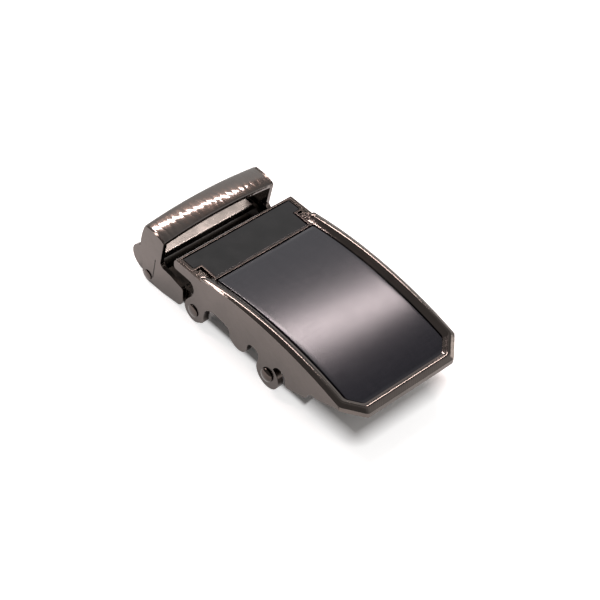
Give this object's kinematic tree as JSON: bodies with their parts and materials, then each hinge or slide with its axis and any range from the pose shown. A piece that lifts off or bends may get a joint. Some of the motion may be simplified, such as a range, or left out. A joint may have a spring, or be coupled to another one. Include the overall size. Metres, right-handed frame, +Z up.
{
  "type": "ratchet belt buckle",
  "caption": "Automatic belt buckle: arched framed face over a spring pawl, hinged to a rear clamp with keeper loop and toothed strap clip.",
  "frame": {"origin": "middle of the buckle's footprint, on the table it stands on", "axes": "+X towards the buckle's tip, +Y towards the side the release lever comes out of, +Z up out of the face"},
  "size_m": [0.091, 0.0462, 0.0215],
  "materials": {
    "gunmetal": "dark polished gunmetal plating over a zinc casting",
    "steel": "plated pressed steel",
    "spring_steel": "drawn spring wire",
    "brushed_panel": "dark lacquered sheet with fine brushed lines",
    "enamel_panel": "smooth near-black lacquered sheet",
    "tape": "thin double-sided adhesive sheet"
  },
  "bodies": {
    "face": {"face_frame": "gunmetal", "main_panel": "brushed_panel", "main_panel_tape": "tape", "tail_panel": "enamel_panel", "tail_panel_tape": "tape", "hinge_pin": "steel", "pawl_pin": "steel", "pawl_spring_near": "spring_steel", "pawl_spring_far": "spring_steel"},
    "pawl_assembly": {"pawl": "steel", "release_lever": "gunmetal", "lever_rivet_inner": "steel", "lever_rivet_outer": "steel"},
    "clamp": {"keeper_loop": "gunmetal", "clamp_channel": "gunmetal", "clip_pin": "steel"},
    "clip": {"strap_clip": "steel"}
  },
  "joints": [
    {"name": "pawl_pivot", "type": "hinge", "parent": "face", "child": "pawl_assembly", "pos_m": [0.01345, -0.00181, 0.0046], "axis": [0, 1, 0], "range_deg": [-28, 0], "stiffness_Nm_per_rad": 0.02, "springref_deg": 20.05, "deforming": ["pawl_spring_near", "pawl_spring_far"]},
    {"name": "clamp_hinge", "type": "hinge", "parent": "face", "child": "clamp", "pos_m": [-0.01685, -0.00181, 0.0043], "axis": [0, 1, 0], "range_deg": [-30, 15]},
    {"name": "clip_pivot", "type": "hinge", "parent": "clamp", "child": "clip", "pos_m": [-0.03695, -0.00181, 0.0023], "axis": [0, 1, 0], "range_deg": [0, 100]}
  ]
}
